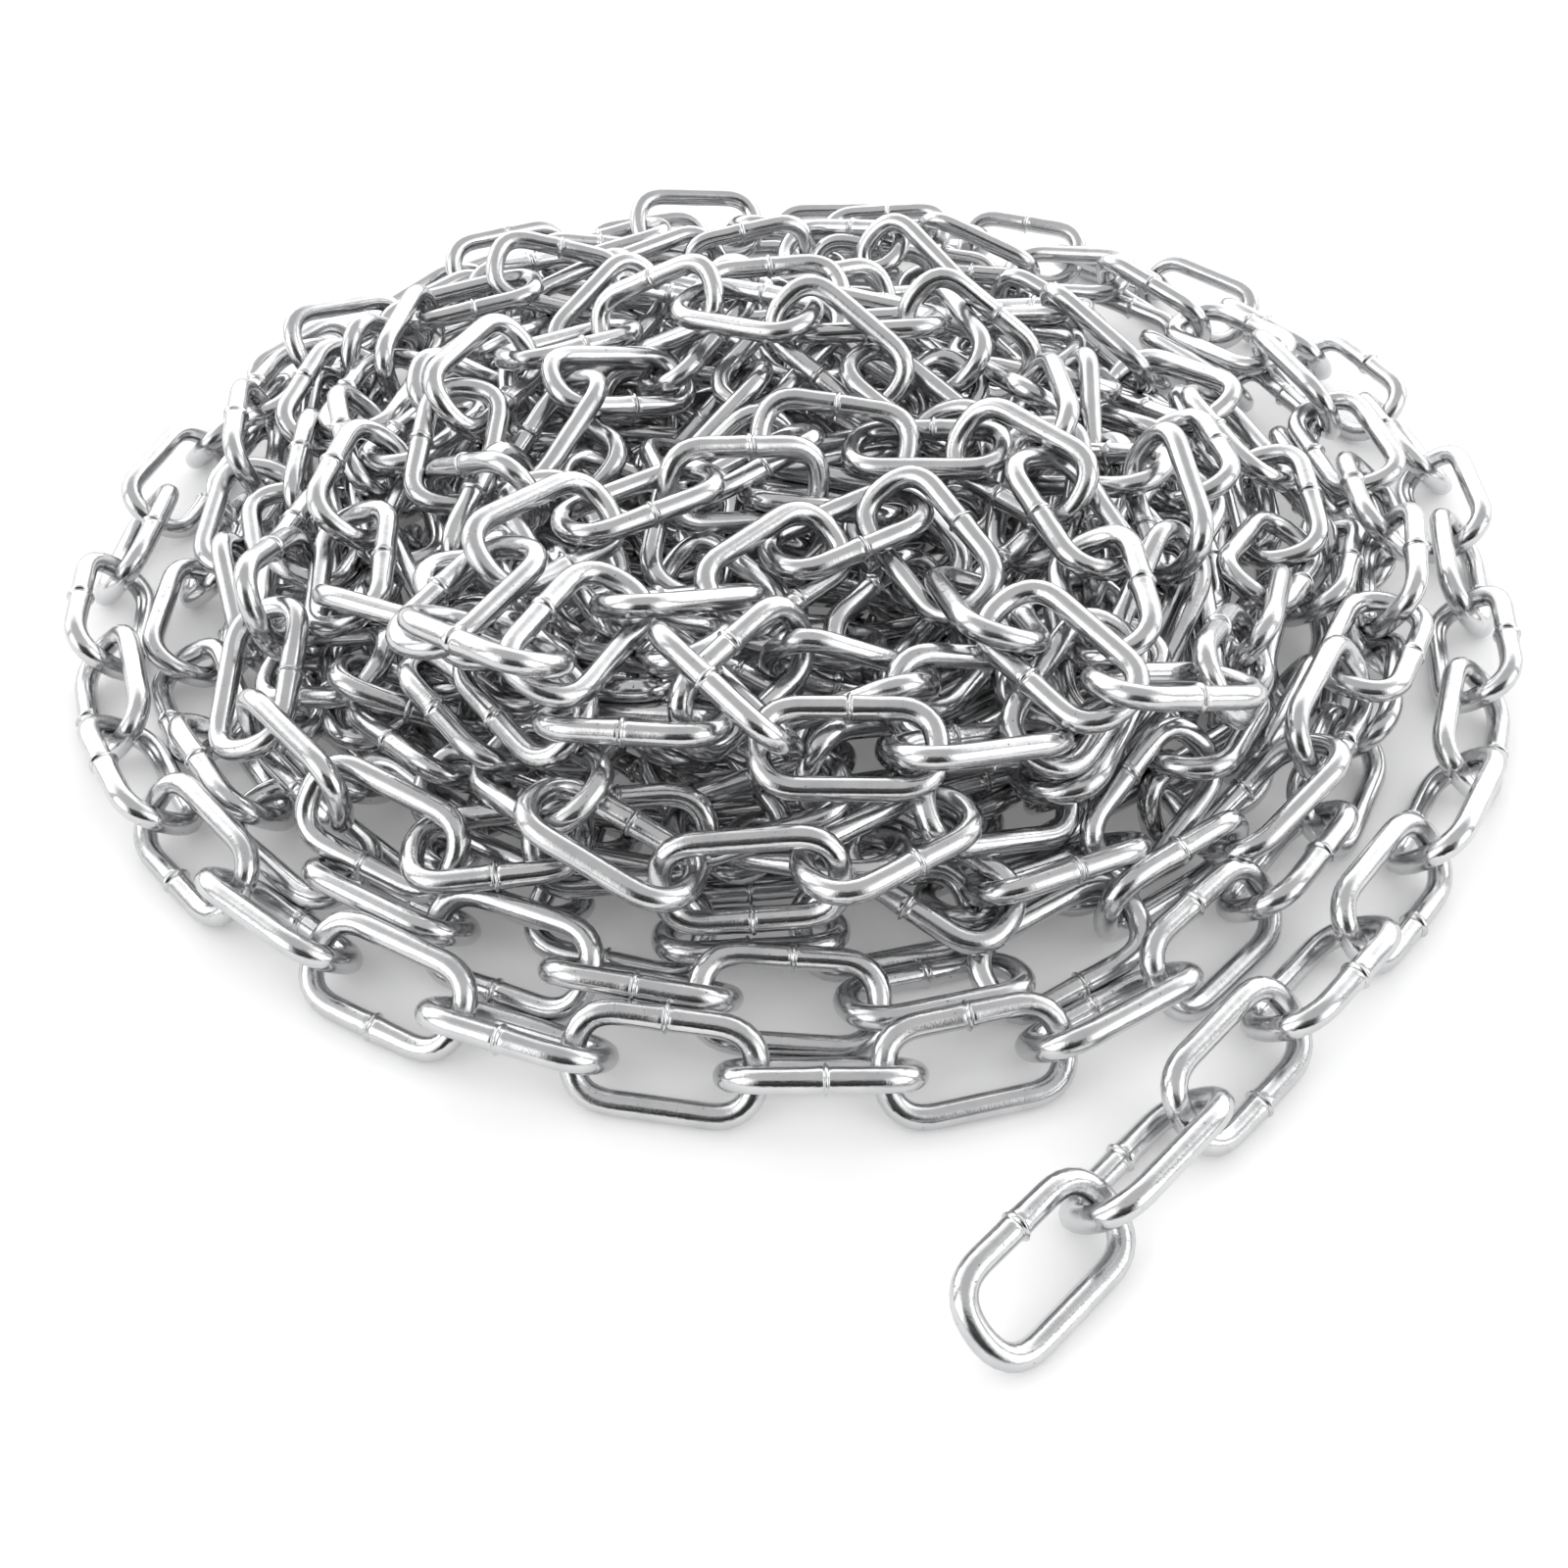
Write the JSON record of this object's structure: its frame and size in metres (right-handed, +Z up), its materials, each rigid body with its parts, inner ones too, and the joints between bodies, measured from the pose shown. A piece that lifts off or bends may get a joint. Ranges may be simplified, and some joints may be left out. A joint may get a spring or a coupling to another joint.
{
  "type": "welded long-link chain heap",
  "caption": "Loose heap of zinc-plated welded long-link steel chain with an outer turn lying flat and a free end that lifts link by link.",
  "frame": {"origin": "on the floor under the middle of the heap", "axes": "+Z up, the free end trails out towards -Y and +X, +X to the right of it"},
  "size_m": [0.3461, 0.3906, 0.06],
  "materials": {
    "zinc_plated_wire": "bright zinc plating over drawn steel wire, glossy with fine draw marks and a raised weld ring",
    "piled_chain": "bright zinc-plated links in a loose pile"
  },
  "bodies": {
    "root": {"ring_link_11": "zinc_plated_wire", "ring_link_12": "zinc_plated_wire", "ring_link_13": "zinc_plated_wire", "ring_link_14": "zinc_plated_wire", "ring_link_15": "zinc_plated_wire", "ring_link_16": "zinc_plated_wire", "ring_link_17": "zinc_plated_wire", "ring_link_18": "zinc_plated_wire", "ring_link_19": "zinc_plated_wire", "ring_link_20": "zinc_plated_wire", "ring_link_21": "zinc_plated_wire", "ring_link_22": "zinc_plated_wire", "ring_link_23": "zinc_plated_wire", "ring_link_24": "zinc_plated_wire", "ring_link_25": "zinc_plated_wire", "ring_link_26": "zinc_plated_wire", "ring_link_27": "zinc_plated_wire", "ring_link_28": "zinc_plated_wire", "ring_link_29": "zinc_plated_wire", "ring_link_30": "zinc_plated_wire", "ring_link_31": "zinc_plated_wire", "ring_link_32": "zinc_plated_wire", "ring_link_33": "zinc_plated_wire", "ring_link_34": "zinc_plated_wire", "ring_link_35": "zinc_plated_wire", "ring_link_36": "zinc_plated_wire", "ring_link_37": "zinc_plated_wire", "ring_link_38": "zinc_plated_wire", "ring_link_39": "zinc_plated_wire", "ring_link_40": "zinc_plated_wire", "inner_turn_link_41": "zinc_plated_wire", "inner_turn_link_42": "zinc_plated_wire", "inner_turn_link_43": "zinc_plated_wire", "inner_turn_link_44": "zinc_plated_wire", "inner_turn_link_45": "zinc_plated_wire", "inner_turn_link_46": "zinc_plated_wire", "inner_turn_link_47": "zinc_plated_wire", "inner_turn_link_48": "zinc_plated_wire", "inner_turn_link_49": "zinc_plated_wire", "inner_turn_link_50": "zinc_plated_wire", "inner_turn_link_51": "zinc_plated_wire", "inner_turn_link_52": "zinc_plated_wire", "inner_turn_link_53": "zinc_plated_wire", "inner_turn_link_54": "zinc_plated_wire", "inner_turn_link_55": "zinc_plated_wire", "inner_turn_link_56": "zinc_plated_wire", "inner_turn_link_57": "zinc_plated_wire", "inner_turn_link_58": "zinc_plated_wire", "inner_turn_link_59": "zinc_plated_wire", "piled_turns": "piled_chain"},
    "tail_link_10": {"tail_link_10": "zinc_plated_wire"},
    "tail_link_09": {"tail_link_09": "zinc_plated_wire"},
    "tail_link_08": {"tail_link_08": "zinc_plated_wire"},
    "tail_link_07": {"tail_link_07": "zinc_plated_wire"},
    "tail_link_06": {"tail_link_06": "zinc_plated_wire"},
    "tail_link_05": {"tail_link_05": "zinc_plated_wire"},
    "tail_link_04": {"tail_link_04": "zinc_plated_wire"},
    "tail_link_03": {"tail_link_03": "zinc_plated_wire"},
    "tail_link_02": {"tail_link_02": "zinc_plated_wire"},
    "end_link": {"end_link": "zinc_plated_wire"}
  },
  "joints": [
    {"name": "tail_link_10_swing", "type": "hinge", "parent": "root", "child": "tail_link_10", "pos_m": [0.16883, 0.03097, 0.00809], "axis": [-0.7351, -0.1631, 0.6581], "range_deg": [0, 35]},
    {"name": "tail_link_09_swing", "type": "hinge", "parent": "tail_link_10", "child": "tail_link_09", "pos_m": [0.16808, 0.00747, 0.00886], "axis": [-0.6546, 0.1081, 0.7482], "range_deg": [0, 35]},
    {"name": "tail_link_08_swing", "type": "hinge", "parent": "tail_link_09", "child": "tail_link_08", "pos_m": [0.16238, -0.02706, 0.00886], "axis": [-0.6546, 0.1081, 0.7482], "range_deg": [0, 35]},
    {"name": "tail_link_07_swing", "type": "hinge", "parent": "tail_link_08", "child": "tail_link_07", "pos_m": [0.15886, -0.05025, 0.00821], "axis": [-0.6939, 0.2595, 0.6717], "range_deg": [0, 35]},
    {"name": "tail_link_06_swing", "type": "hinge", "parent": "tail_link_07", "child": "tail_link_06", "pos_m": [0.14661, -0.08304, 0.00821], "axis": [-0.6939, 0.2595, 0.6717], "range_deg": [0, 35]},
    {"name": "tail_link_05_swing", "type": "hinge", "parent": "tail_link_06", "child": "tail_link_05", "pos_m": [0.13426, -0.10301, 0.00871], "axis": [-0.5292, 0.4307, 0.7311], "range_deg": [0, 35]},
    {"name": "tail_link_04_swing", "type": "hinge", "parent": "tail_link_05", "child": "tail_link_04", "pos_m": [0.11217, -0.13016, 0.00871], "axis": [-0.5292, 0.4307, 0.7311], "range_deg": [0, 35]},
    {"name": "tail_link_03_swing", "type": "hinge", "parent": "tail_link_04", "child": "tail_link_03", "pos_m": [0.09626, -0.14732, 0.0084], "axis": [-0.5274, 0.4896, 0.6944], "range_deg": [0, 35]},
    {"name": "tail_link_02_swing", "type": "hinge", "parent": "tail_link_03", "child": "tail_link_02", "pos_m": [0.07245, -0.17297, 0.0084], "axis": [-0.5274, 0.4896, 0.6944], "range_deg": [0, 35]},
    {"name": "end_link_swing", "type": "hinge", "parent": "tail_link_02", "child": "end_link", "pos_m": [0.05232, -0.19413, 0.00891], "axis": [-0.4761, 0.452, -0.7543], "range_deg": [0, 35]}
  ]
}
